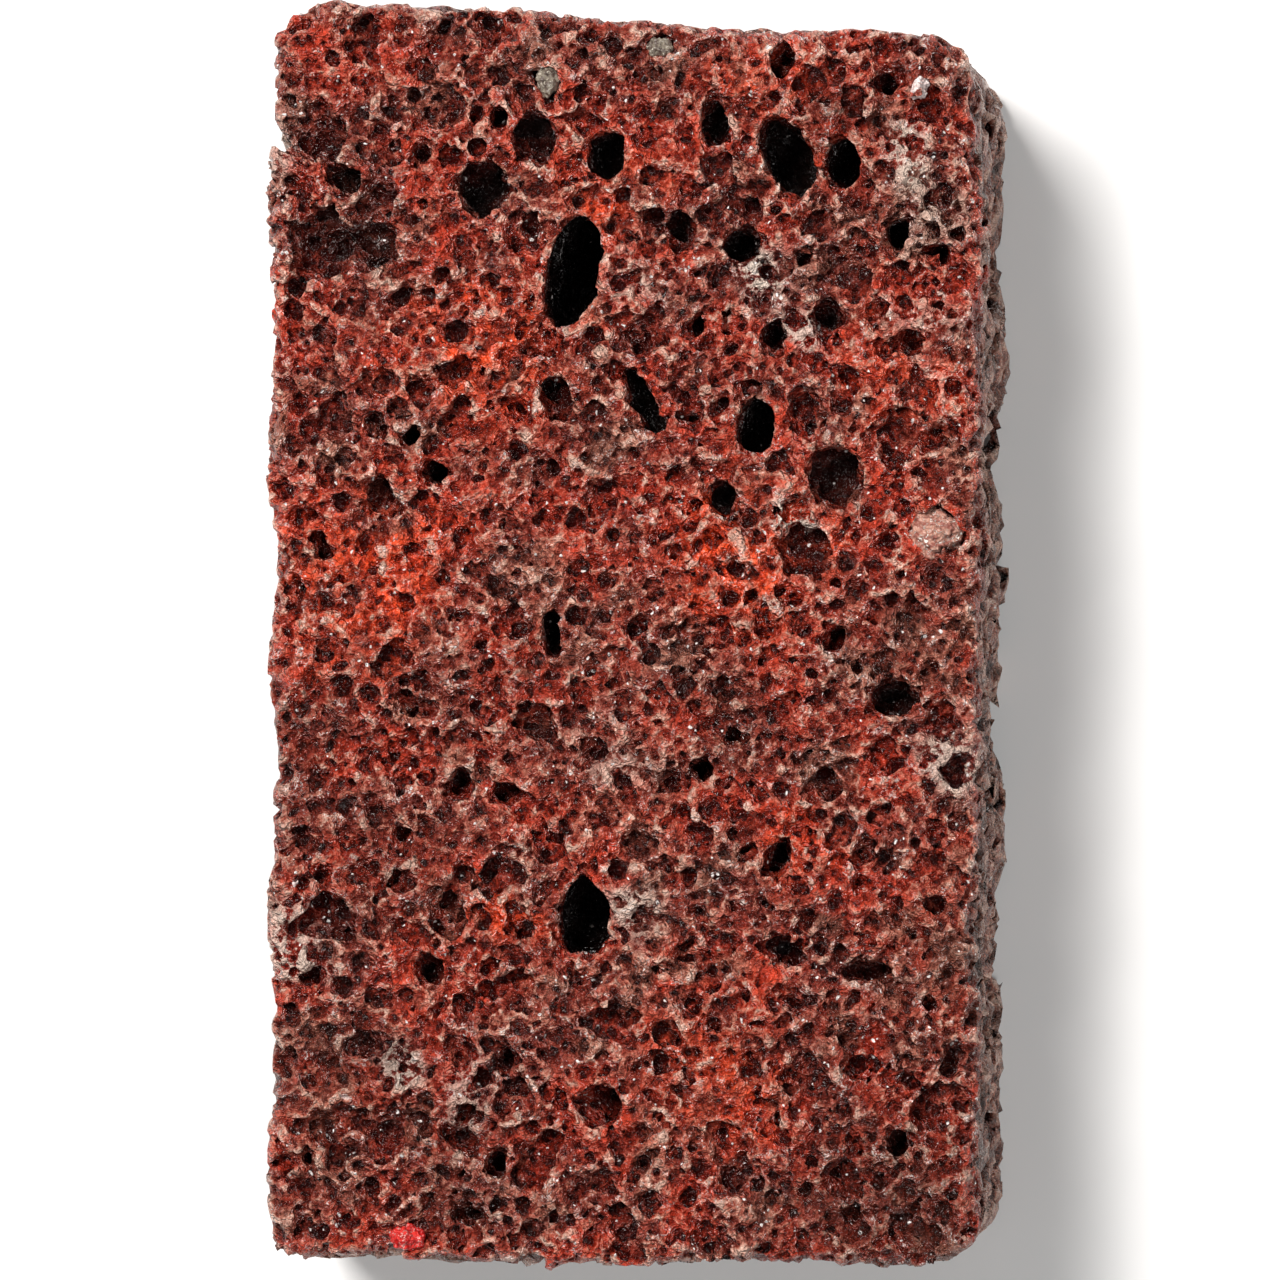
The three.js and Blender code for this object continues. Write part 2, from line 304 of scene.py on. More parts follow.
class BubbleCutter:
    """Makes the solids that are cut out of the stone from a list of bubbles."""

    DENT = 0.13
    GRID = 11.0

    def __init__(self) -> None:
        """Makes one ball of each detail for all bubbles to be shaped from."""
        self.balls = {detail: self._ball(detail) for detail in BubbleDetail}

    @staticmethod
    def _ball(detail: BubbleDetail) -> tuple[np.ndarray, np.ndarray]:
        """Makes a ball of radius 1 and gives its points and its triangles."""
        bm = bmesh.new()
        bmesh.ops.create_icosphere(bm, subdivisions=detail.value, radius=1.0)
        points = np.array([vert.co for vert in bm.verts])
        triangles = np.array([[vert.index for vert in face.verts] for face in bm.faces])
        bm.free()
        return points, triangles

    def _shape(self, bubble: Bubble) -> np.ndarray:
        """Gives a bubble's own points, dented, stretched, turned and put in place."""
        points = self.balls[bubble.detail][0]
        rng = np.random.default_rng(bubble.seed)
        swell = np.ones(len(points))
        for _ in range(5):
            way = rng.normal(size=3) * 1.7
            swell += self.DENT * 0.45 * np.sin(points @ way + rng.uniform(0, 2 * math.pi))
        turned = np.array(Euler(bubble.turn).to_matrix())
        shaped = (points * swell[:, None] * np.array(bubble.radii)) @ turned.T
        return (shaped + np.array(bubble.centre)) * MM

    def batches(self, bubbles: list[Bubble]) -> list[list[Bubble]]:
        """Sorts bubbles into groups in which none touches another.

        Args:
            bubbles: The bubbles in any order.

        Returns:
            The groups, largest bubbles first.
        """
        groups: list[dict[tuple[int, ...], list[Bubble]]] = []
        for bubble in sorted(bubbles, key=lambda one: -one.reach):
            home = tuple(int(value // self.GRID) for value in bubble.centre)
            for group in groups:
                if not self._meets(bubble, home, group):
                    break
            else:
                group = {}
                groups.append(group)
            group.setdefault(home, []).append(bubble)
        return [[bubble for row in group.values() for bubble in row] for group in groups]

    @staticmethod
    def _meets(bubble: Bubble, home: tuple[int, ...], group: dict) -> bool:
        """Tells whether a bubble comes near any bubble of a group."""
        steps = (-1, 0, 1)
        for step in ((i, j, k) for i in steps for j in steps for k in steps):
            cell = tuple(a + b for a, b in zip(home, step))
            for other in group.get(cell, ()):
                if math.dist(bubble.centre, other.centre) < bubble.reach + other.reach:
                    return True
        return False

    def solid(self, bubbles: list[Bubble]) -> bpy.types.Object:
        """Makes one object of many bubbles.

        Args:
            bubbles: Bubbles of which none touches another.

        Returns:
            An object that holds each bubble as a closed shell.
        """
        points, triangles, used = [], [], 0
        for bubble in bubbles:
            shape = self._shape(bubble)
            points.append(shape)
            triangles.append(self.balls[bubble.detail][1] + used)
            used += len(shape)
        mesh = bpy.data.meshes.new("bubbles")
        mesh.from_pydata(np.concatenate(points), [], np.concatenate(triangles).tolist())
        return link("bubbles", mesh)


# The stone -----------------------------------------------------------------------------------------


class Face(Enum):
    """The bar's six faces: the axis that each looks along, and which way."""

    FRONT = (2, 1)
    BACK = (2, -1)
    RIGHT = (0, 1)
    LEFT = (0, -1)
    TOP_END = (1, 1)
    BOTTOM_END = (1, -1)


@dataclass(frozen=True)
class Pore:
    """An open bubble of the front face that is wide enough to be told apart.

    Attributes:
        x: Its middle across the bar, in millimetres.
        y: Its middle along the bar, in millimetres.
        width: Its shorter way over the mouth, in millimetres.
        length: Its longer way over the mouth, in millimetres.
        depth: How deep it goes, in millimetres.
        turn: How far its longer way is turned to the left from the bar's length, in radians.
    """

    x: float
    y: float
    width: float
    length: float
    depth: float
    turn: float

    @classmethod
    def within(cls, walls: np.ndarray, top: float) -> "Pore":
        """Measures a bubble from its walls.

        Args:
            walls: The corners of its walls, one to a row, in millimetres.
            top: The height of the front face, in millimetres.

        Returns:
            The bubble, turned so that its length lies along its longest way.
        """
        spread = np.cov(walls[:, :2].T)
        turn = 0.5 * math.atan2(2 * spread[0, 1], spread[0, 0] - spread[1, 1]) - math.pi / 2
        ways = np.array([[math.cos(turn), math.sin(turn)], [-math.sin(turn), math.cos(turn)]])
        turned = walls[:, :2] @ ways.T
        low, high = turned.min(axis=0), turned.max(axis=0)
        x, y = (low + high) / 2 @ ways
        width, length = high - low
        return cls(x, y, width, length, top - walls[:, 2].min(), turn)


class PackedStone:
    """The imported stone, read for the wide bubbles that are cut into its front.

    The front's skin is what faces forwards close to the top. Without it the mesh falls apart into
    the walls of the single bubbles and the rest of the block.
    """

    SKIN_DEPTH = 1.1
    SKIN_FACING = 0.9
    SEAT_REACH = 1.0

    def __init__(self, mesh: bpy.types.Mesh) -> None:
        """Reads the mesh and joins the corners that its triangles share."""
        self.bm = bmesh.new()
        self.bm.from_mesh(mesh)
        bmesh.ops.remove_doubles(self.bm, verts=self.bm.verts, dist=0.001 * MM)
        self.bm.normal_update()
        self.top = max(vert.co.z for vert in self.bm.verts) / MM

    def _is_skin(self, face: bmesh.types.BMFace) -> bool:
        """Tells whether a face belongs to the front's skin."""
        height = face.calc_center_median().z / MM
        return face.normal.z > self.SKIN_FACING and height > self.top - self.SKIN_DEPTH

    def _islands(self) -> list[list[bmesh.types.BMFace]]:
        """Splits all but the front's skin into the parts that hang together."""
        left = dict.fromkeys(face for face in self.bm.faces if not self._is_skin(face))
        islands = []
        while left:
            island = [left.popitem()[0]]
            for face in island:
                for other in [other for edge in face.edges for other in edge.link_faces]:
                    if other in left:
                        del left[other]
                        island.append(other)
            islands.append(island)
        return sorted(islands, key=len)

    def pores(self, seats: list[Bubble]) -> list[Pore]:
        """Finds the front's wide bubbles.

        Args:
            seats: The seats of the foreign grains, which are no bubbles.

        Returns:
            The bubbles, in the order of their places along the bar.
        """
        found = []
        for island in self._islands()[:-1]:
            walls = np.array([vert.co for face in island for vert in face.verts]) / MM
            pore = Pore.within(walls, self.top)
            aways = [math.dist((pore.x, pore.y), seat.centre[:2]) for seat in seats]
            if min(aways) > self.SEAT_REACH:
                found.append(pore)
        log.info("found %d wide bubbles in the packed stone", len(found))
        return sorted(found, key=lambda pore: (round(pore.y, 1), round(pore.x, 1)))


@dataclass(frozen=True)
class Swarm:
    """A random scatter of bubbles over a face.

    Attributes:
        per_square: How many bubbles there are to a square centimetre.
        smallest: The smallest radius, in millimetres.
        largest: The largest radius, in millimetres.
        fineness: How strongly small bubbles outnumber large ones.
    """

    per_square: float
    smallest: float
    largest: float
    fineness: float

    def radius(self, rng: random.Random) -> float:
        """Draws one bubble's radius, in millimetres."""
        low = self.smallest**-self.fineness
        high = self.largest**-self.fineness
        return (low + (high - low) * rng.random()) ** (-1 / self.fineness)


@dataclass
class LavaStone:
    """The sawn and tumbled bar of vesicular lava.

    Attributes:
        low: The lowest corner of the bar's box, in millimetres.
        high: The highest corner of the bar's box, in millimetres.
        sockets: The bubbles that the foreign grains sit in.
        pores: The wide open bubbles of the front.
        corner_radii: The radii of the upright corners: top left, top right, bottom left and right.
        rim_radius: The radius of the tumbled edges all round the front and back.
        top_slope: How fast the top end drops towards the right.
        waves: The unevenness that sawing and tumbling left.
        face_budget: How many triangles the front keeps, and the other faces together.
    """

    low: Vector
    high: Vector
    sockets: list[Bubble] = field(default_factory=list)
    pores: list[Pore] = field(default_factory=list)
    corner_radii: tuple[float, ...] = (6.5, 5.6, 2.4, 4.6)
    rim_radius: float = 1.7
    top_slope: float = 0.068
    waves: tuple[Ripple, ...] = (Ripple(0.34, 15.0, 3), Ripple(0.2, 5.0, 8), Ripple(0.13, 2.2, 5))
    face_budget: tuple[int, int] = (144_000, 52_000)

    NODE = "lava_stone_block"
    SEED = 20
    # A wide bubble opens into others under it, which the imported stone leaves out.
    DEEPENING = 1.3
    # How far under the front a wide bubble's middle lies, as a share of its depth.
    SUNK_SHARE = 0.24
    # Mouths wider than this, in millimetres, have smaller bubbles broken into their walls.
    PLAIN_MOUTH = 1.7
    SIDE_BUBBLES_PER_MM = 1.6
    FRONT_SWARMS = (Swarm(3.4, 1.1, 2.1, 2.0), Swarm(39.0, 0.45, 1.25, 2.0))
    OTHER_SWARMS = (Swarm(1.3, 1.3, 3.4, 2.2), Swarm(18.0, 0.6, 1.4, 2.2))
    COARSE_FROTH = (Froth(1.6, 0.34, 0.66, 0.85, 11), Froth(1.05, 0.34, 0.64, 0.9, 23))
    FINE_FROTH = (Froth(0.62, 0.36, 0.62, 0.85, 7),)

    def block(self) -> bpy.types.Object:
        """Makes the sawn block with its rounded corners and rims."""
        size = self.high - self.low
        bm = bmesh.new()
        bmesh.ops.create_cube(bm, size=1.0)
        bmesh.ops.scale(bm, vec=size, verts=bm.verts)
        bmesh.ops.translate(bm, vec=(self.low + self.high) / 2, verts=bm.verts)
        for vert in bm.verts:
            if vert.co.y > 0:
                vert.co.y -= self.top_slope * (vert.co.x - self.low.x)
        self._round_corners(bm)
        rims = [e for e in bm.edges if abs(e.verts[0].co.z - e.verts[1].co.z) < 0.01]
        self._bevel(bm, rims, self.rim_radius, 4)
        bmesh.ops.scale(bm, vec=(MM, MM, MM), verts=bm.verts)
        return from_bmesh("sawn_block", bm)

    def _round_corners(self, bm: bmesh.types.BMesh) -> None:
        """Rounds the four upright edges, each by its own radius."""
        for radius, (right, top) in zip(self.corner_radii, ((0, 1), (1, 1), (0, 0), (1, 0))):
            edges = [
                edge
                for edge in bm.edges
                if abs(edge.verts[0].co.z - edge.verts[1].co.z) > 1.0
                and self._in_corner(edge.verts[0].co, right, top)
            ]
            self._bevel(bm, edges, radius, 7)

    def _in_corner(self, place: Vector, right: int, top: int) -> bool:
        """Tells whether a place is at one of the four sharp corners."""
        reach = 4.0
        at_side = place.x > self.high.x - 0.1 if right else place.x < self.low.x + 0.1
        at_end = place.y > self.high.y - reach if top else place.y < self.low.y + 0.1
        return at_side and at_end

    @staticmethod
    def _bevel(bm: bmesh.types.BMesh, edges: list, radius: float, segments: int) -> None:
        """Rounds some edges."""
        bmesh.ops.bevel(
            bm,
            geom=edges,
            offset=radius,
            offset_type="OFFSET",
            segments=segments,
            profile=0.5,
            affect="EDGES",
            material=-1,
        )

    def weather(self, piece: bpy.types.Object) -> None:
        """Makes the walls and the front uneven, and leaves the ground back flat."""
        points = points_of(piece.data)
        outward = normals_of(piece.data)
        rise = sum(wave.at(points) for wave in self.waves)
        above_back = smoothstep(0.0, 3.0 * MM, points[:, 2])
        points += outward * ((rise - 0.2 * MM) * above_back)[:, None]
        move_points(piece.data, points)

    def named_bubbles(self) -> list[Bubble]:
        """Makes the front's wide pores, each with smaller bubbles breaking into its wall."""
        rng = random.Random(self.SEED)
        bubbles = []
        for pore in self.pores:
            depth = self.DEEPENING * pore.depth
            sunk = self.SUNK_SHARE * depth
            radii = (pore.width / 2, pore.length / 2, depth - sunk)
            centre = (pore.x, pore.y, self.high.z - sunk)
            bubbles.append(Bubble(centre, radii, (0, 0, pore.turn), rng.randrange(10**6)))
            mouth = min(pore.width, pore.length)
            count = round(mouth * self.SIDE_BUBBLES_PER_MM) if mouth > self.PLAIN_MOUTH else 0
            for _ in range(count):
                bubbles.append(self._side_bubble(rng, centre, radii, pore.turn))
        return bubbles

    @staticmethod
    def _side_bubble(rng: random.Random, centre: Triple, radii: Triple, turn: float) -> Bubble:
        """Makes a small bubble that breaks into the lower wall of a wide one."""
        around = rng.uniform(0, 2 * math.pi)
        down = rng.uniform(0.15, 0.9)
        out = math.sqrt(1 - down * down)
        way = Vector((out * math.cos(around), out * math.sin(around), -down))
        spot = Matrix.Rotation(turn, 3, "Z") @ Vector(a * b for a, b in zip(way, radii))
        radius = min(radii[:2]) * rng.uniform(0.28, 0.5)
        sizes = tuple(radius * rng.uniform(0.8, 1.25) for _ in range(3))
        place = tuple(Vector(centre) + spot)
        return Bubble(place, sizes, (0, 0, around), rng.randrange(10**6))

    def _place(self, rng: random.Random, face: Face) -> Vector:
        """Draws a place on one face of the block, in millimetres."""
        axis, sign = face.value
        place = Vector(rng.uniform(self.low[i], self.high[i]) for i in range(3))
        place[axis] = self.high[axis] if sign > 0 else self.low[axis]
        return place

    def _coarseness(self, face: Face, place: Vector) -> float:
        """Gives how large the bubbles run at a place, against the usual size."""
        if face is not Face.FRONT:
            return 1.0
        upper = 1.0 / (1.0 + math.exp(-(place.y - 12.0) / 4.0))
        lower = 1.0 / (1.0 + math.exp((place.y + 18.0) / 4.0))
        return 0.72 + 0.4 * upper + 0.2 * lower

    def scattered_bubbles(self) -> list[Bubble]:
        """Scatters random bubbles over all six faces, clear of the front's wide pores."""
        rng = random.Random(self.SEED + 1)
        size = self.high - self.low
        bubbles = []
        for face in Face:
            area = math.prod(size[i] for i in range(3) if i != face.value[0]) / 100
            swarms = self.FRONT_SWARMS if face is Face.FRONT else self.OTHER_SWARMS
            for swarm in swarms:
                for _ in range(round(area * swarm.per_square)):
                    place = self._place(rng, face)
                    radius = swarm.radius(rng) * self._coarseness(face, place)
                    bubble = self._free_bubble(rng, face, place, radius)
                    if not self._crowds(bubble, face):
                        bubbles.append(bubble)
        return bubbles

    @staticmethod
    def _free_bubble(rng: random.Random, face: Face, place: Vector, radius: float) -> Bubble:
        """Makes a random bubble whose middle lies a little under or over its face."""
        axis, sign = face.value
        place[axis] -= sign * radius * rng.uniform(-0.4, 0.55)
        radii = tuple(radius * rng.uniform(0.75, 1.3) for _ in range(3))
        turn = tuple(rng.uniform(0, math.pi) for _ in range(3))
        return Bubble(tuple(place), radii, turn, rng.randrange(10**6))

    def _crowds(self, bubble: Bubble, face: Face) -> bool:
        """Tells whether a bubble would break a wide pore's mouth or bite the front's rim."""
        radius = max(bubble.radii)
        if face is not Face.FRONT:
            return radius > 1.1 and bubble.centre[2] > self.high.z - 1.3 * radius
        widest = 0.9 if radius > 0.9 else 1.9
        for pore in self.pores:
            reach = (pore.width + pore.length) / 4 + 0.55 * radius
            near = math.dist(bubble.centre[:2], (pore.x, pore.y)) < reach
            if near and min(pore.width, pore.length) > widest:
                return True
        return False

    def carve(self, piece: bpy.types.Object) -> None:
        """Cuts every bubble out of the block."""
        bubbles = self.sockets + self.named_bubbles() + self.scattered_bubbles()
        cutter = BubbleCutter()
        groups = cutter.batches(bubbles)
        for group in groups:
            solid = cutter.solid(group)
            cut = piece.modifiers.new("cut", "BOOLEAN")
            cut.object = solid
            cut.operation = "DIFFERENCE"
            cut.solver = "MANIFOLD"
            bake_modifiers(piece)
            mesh = solid.data
            bpy.data.objects.remove(solid)
            bpy.data.meshes.remove(mesh)
        log.info("cut %d bubbles in %d groups", len(bubbles), len(groups))

    @staticmethod
    def foam(piece: bpy.types.Object, layers: tuple[Froth, ...]) -> None:
        """Opens layers of fine bubbles in the whole skin, pore walls included."""
        points = points_of(piece.data)
        outward = normals_of(piece.data)
        depth = np.max([layer.depth(points, outward) for layer in layers], axis=0)
        points -= outward * depth[:, None]
        points[:, 2] = np.maximum(points[:, 2], 0)
        move_points(piece.data, points)

    def thin(self, piece: bpy.types.Object) -> None:
        """Brings the mesh down to its budget, with the finest faces kept on the front."""
        piece.modifiers.new("triangles", "TRIANGULATE")
        bake_modifiers(piece)
        front_budget, other_budget = self.face_budget
        for thin_front in (False, True):
            mesh = piece.data
            front = points_of(mesh)[:, 2] > (self.high.z - 4.5) * MM
            group = piece.vertex_groups.new(name="thinned")
            chosen = np.flatnonzero(front if thin_front else ~front)
            group.add(chosen.tolist(), 1.0, "REPLACE")
            share = np.count_nonzero(front) / len(front)
            total = len(mesh.polygons)
            goal = front_budget + other_budget if thin_front else share * total + other_budget
            modifier = piece.modifiers.new("thin", "DECIMATE")
            modifier.vertex_group = group.name
            modifier.ratio = min(1.0, goal / total)
            bake_modifiers(piece)
            piece.vertex_groups.clear()

    def mark(self, piece: bpy.types.Object, bare: BVHTree) -> None:
        """Grinds off what stands out of the worn block, and stores what the finish follows.

        Args:
            piece: The finished stone.
            bare: The worn block before any bubble was cut.
        """
        points = points_of(piece.data)
        depth = np.zeros(len(points))
        for index, point in enumerate(points):
            spot, outward, _, away = bare.find_nearest(Vector(point))
            if (Vector(point) - spot).dot(outward) > 0:
                points[index] = spot
            else:
                depth[index] = away / MM
        move_points(piece.data, points)
        self._store(piece.data, "pit", depth)
        self._store(piece.data, "fine_relief", relief_of(piece.data, 3))
        self._store(piece.data, "wide_relief", relief_of(piece.data, 16))
        for tint in Tint:
            self._store(piece.data, tint.value, zone_strength(points / MM, tint))

    @staticmethod
    def _store(mesh: bpy.types.Mesh, name: str, values: np.ndarray) -> None:
        """Stores one number for each vertex under a name."""
        layer = mesh.attributes.new(name, "FLOAT", "POINT")
        layer.data.foreach_set("value", values.astype(np.float32))

    def build(self) -> bpy.types.Object:
        """Makes the whole stone.

        Returns:
            The stone, without a finish yet.
        """
        coarse, fine = ((0.3, 0.215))
        piece = self.block()
        remesh(piece, 0.6)
        self.weather(piece)
        depsgraph = bpy.context.evaluated_depsgraph_get()
        bare = BVHTree.FromObject(piece, depsgraph)
        self.carve(piece)
        remesh(piece, coarse)
        self.foam(piece, self.COARSE_FROTH)
        remesh(piece, fine)
        self.foam(piece, self.FINE_FROTH)
        self.thin(piece)
        self.mark(piece, bare)
        piece.name = "lava_stone"
        piece.data.materials.clear()
        piece.data.shade_smooth()
        return piece


# Colours -------------------------------------------------------------------------------------------


class Tint(Enum):
    """The zones of other colours, by the names under which the stone stores them."""

    WARM = "warm"
    GREY = "grey"
    DARK = "dark"
    PALE = "pale"


@dataclass(frozen=True)
class Zone:
    """A soft-edged patch of another colour on the front.

    Attributes:
        tint: Which colour it has.
        x: Its middle across the bar, in millimetres.
        y: Its middle along the bar, in millimetres.
        radius: Where it has faded away, in millimetres.
        strength: How strong it is in the middle, from 0 to 1.
    """

    tint: Tint
    x: float
    y: float
    radius: float
    strength: float = 1.0


ZONES = (
    Zone(Tint.WARM, 9.5, 5.5, 9.0),
    Zone(Tint.WARM, 13.5, 8.5, 5.0),
    Zone(Tint.WARM, 22.5, 20.0, 8.0, 0.6),
    Zone(Tint.WARM, -1.0, 34.0, 6.0, 0.7),
    Zone(Tint.WARM, 12.0, 42.0, 6.0, 0.5),
    Zone(Tint.WARM, -20.0, 4.0, 11.0, 0.9),
    Zone(Tint.WARM, -11.0, 22.0, 10.0, 0.8),
    Zone(Tint.WARM, -9.2, -23.5, 3.6),
    Zone(Tint.WARM, 8.0, -35.0, 9.0, 0.6),
    Zone(Tint.WARM, 14.0, -17.0, 6.0, 0.4),
    Zone(Tint.GREY, 24.5, 32.0, 6.0, 0.9),
    Zone(Tint.GREY, 25.0, -2.0, 6.0, 0.9),
    Zone(Tint.GREY, 2.5, -27.0, 6.5, 0.8),
    Zone(Tint.GREY, 0.5, -13.0, 8.0, 0.6),
    Zone(Tint.GREY, -7.0, 4.0, 5.0, 0.6),
    Zone(Tint.GREY, 25.0, -26.0, 9.0, 0.7),
    Zone(Tint.GREY, -24.0, -40.0, 8.0, 0.5),
    Zone(Tint.DARK, 21.5, -46.5, 15.0),
    Zone(Tint.DARK, 26.0, -27.0, 8.0, 0.75),
    Zone(Tint.DARK, -23.0, -34.0, 8.0, 0.85),
    Zone(Tint.DARK, -12.0, -43.0, 8.0, 0.7),
    Zone(Tint.DARK, -26.0, -8.0, 8.0, 0.7),
    Zone(Tint.DARK, -18.0, -20.0, 8.0, 0.5),
    Zone(Tint.DARK, -8.5, -4.0, 7.0, 0.5),
    Zone(Tint.DARK, 7.0, -7.0, 7.0, 0.45),
    Zone(Tint.DARK, -20.5, 33.0, 7.0, 0.7),
    Zone(Tint.DARK, 15.5, 39.0, 5.5, 0.6),
    Zone(Tint.DARK, 22.0, -3.0, 5.0, 0.6),
    Zone(Tint.PALE, -27.5, 38.0, 4.0, 0.5),
    Zone(Tint.PALE, -27.5, -25.0, 4.5, 0.8),
    Zone(Tint.PALE, 22.5, 38.3, 3.4, 0.8),
    Zone(Tint.PALE, 25.0, 33.0, 4.0, 0.4),
    Zone(Tint.PALE, 11.8, 27.4, 3.2),
    Zone(Tint.PALE, 13.6, 23.6, 2.2, 0.8),
    Zone(Tint.PALE, 12.8, 8.8, 2.8),
    Zone(Tint.PALE, 25.0, -10.0, 4.0, 0.7),
    Zone(Tint.PALE, 24.5, 24.0, 4.0, 0.4),
    Zone(Tint.PALE, 0.5, -22.5, 3.0, 0.6),
    Zone(Tint.PALE, 0.0, -11.0, 4.0, 0.4),
    Zone(Tint.PALE, -17.0, -35.6, 3.0, 0.8),
    Zone(Tint.PALE, -13.0, -36.4, 3.0, 0.5),
    Zone(Tint.PALE, 1.2, 27.8, 2.6, 0.5),
)


def zone_strength(points: np.ndarray, tint: Tint) -> np.ndarray:
    """Adds up the zones of one colour.

    Args:
        points: Rows of places in millimetres.
        tint: The colour.

    Returns:
        The colour's strength at each place, from 0 to 1.
    """
    ragged = Ripple(1.6, 6.0, 31).at(points * MM) / MM
    total = np.zeros(len(points))
    for zone in ZONES:
        if zone.tint is tint:
            away = np.hypot(points[:, 0] - zone.x, points[:, 1] - zone.y) + ragged
            total = np.maximum(total, zone.strength * (1 - smoothstep(0, zone.radius, away)))
    front = smoothstep(12.0, 21.0, points[:, 2])
    return total * front


class Nodes:
    """A short way to write a material's nodes."""

    def __init__(self, name: str) -> None:
        """Starts a material that has only its shader and its output."""
        self.material = bpy.data.materials.new(name)
        self.material.use_nodes = True
        self.tree = self.material.node_tree
        self.shader = self.tree.nodes["Principled BSDF"]
        self.place = self.tree.nodes.new("ShaderNodeTexCoord").outputs["Object"]

    def stir(self, size: float, reach: float) -> bpy.types.NodeSocket:
        """Gives the place shifted about at random, which bends any pattern laid on it.

        Args:
            size: The size of the swirls, in millimetres.
            reach: How far they shift, in millimetres.

        Returns:
            The shifted place.
        """
        inputs = {"Vector": self.place, "Scale": 1 / (size * MM), "Detail": 2.0}
        noise = self.add("TexNoise", "Color", {}, inputs)
        drift = self.add("VectorMath", 0, {"operation": "SUBTRACT"}, {0: noise, 1: (0.5, 0.5, 0.5)})
        push = {0: drift, 1: (reach * MM,) * 3, 2: self.place}
        return self.add("VectorMath", 0, {"operation": "MULTIPLY_ADD"}, push)

    def _feed(self, socket: bpy.types.NodeSocket, value: object) -> None:
        """Sets a socket to a value, or joins it to another node's output."""
        if isinstance(value, bpy.types.NodeSocket):
            self.tree.links.new(value, socket)
        else:
            socket.default_value = value

    def add(self, kind: str, out: str | int, settings: dict, inputs: dict) -> bpy.types.NodeSocket:
        """Adds a node.

        Args:
            kind: The node's type, without the leading ShaderNode.
            out: The output to give back.
            settings: The node's own properties.
            inputs: Its inputs by name or number.

        Returns:
            The output that was asked for.
        """
        node = self.tree.nodes.new("ShaderNode" + kind)
        for key, value in settings.items():
            setattr(node, key, value)
        for key, value in inputs.items():
            self._feed(node.inputs[key], value)
        return node.outputs[out]

    def math(self, operation: str, *values: object) -> bpy.types.NodeSocket:
        """Works out one number from others."""
        return self.add("Math", 0, {"operation": operation}, dict(enumerate(values)))

    def noise(self, size: float, detail: float = 2.0, swirl: float = 0.0) -> bpy.types.NodeSocket:
        """Gives smooth random numbers about 0.5.

        Args:
            size: The size of the lumps, in millimetres.
            detail: How many finer lumps lie on them.
            swirl: How strongly the lumps are stirred into worms.

        Returns:
            The number.
        """
        inputs = {"Vector": self.place, "Scale": 1 / (size * MM), "Detail": detail}
        return self.add("TexNoise", 0, {}, {**inputs, "Distortion": swirl})

    def cells(self, size: float, out: str, place: object = None) -> bpy.types.NodeSocket:
        """Gives random cells of a size in millimetres.

        Args:
            size: The cells' size.
            out: What to give: Distance from the cell's middle, or its random Color.
            place: Where to look, if not at the plain place.

        Returns:
            The output that was asked for.
        """
        inputs = {"Vector": place or self.place, "Scale": 1 / (size * MM)}
        return self.add("TexVoronoi", out, {}, inputs)

    def span(self, value: object, low: float, high: float) -> bpy.types.NodeSocket:
        """Eases a number from 0 at one limit to 1 at the other."""
        inputs = {"Value": value, "From Min": low, "From Max": high}
        return self.add("MapRange", 0, {"interpolation_type": "SMOOTHSTEP"}, inputs)

    def mix(
        self, share: object, first: object, second: object, way: str = "MIX"
    ) -> bpy.types.NodeSocket:
        """Mixes two colours."""
        settings = {"data_type": "RGBA", "blend_type": way, "clamp_factor": True}
        return self.add("Mix", 2, settings, {0: share, 6: first, 7: second})

    def stored(self, name: str) -> bpy.types.NodeSocket:
        """Reads a number that the mesh stores."""
        return self.add("Attribute", "Fac", {"attribute_name": name}, {})

    def bump(self, height: object, depth: float) -> bpy.types.NodeSocket:
        """Roughens the surface.

        Args:
            height: The height from 0 to 1.
            depth: What a height of 1 stands for, in millimetres.

        Returns:
            The new surface direction.
        """
        inputs = {"Height": height, "Distance": depth * MM, "Strength": 1.0}
        return self.add("Bump", 0, {}, inputs)

    def finish(self, **inputs: object) -> bpy.types.Material:
        """Feeds the shader and gives back the material."""
        for key, value in inputs.items():
            self._feed(self.shader.inputs[key.replace("_", " ")], value)
        return self.material


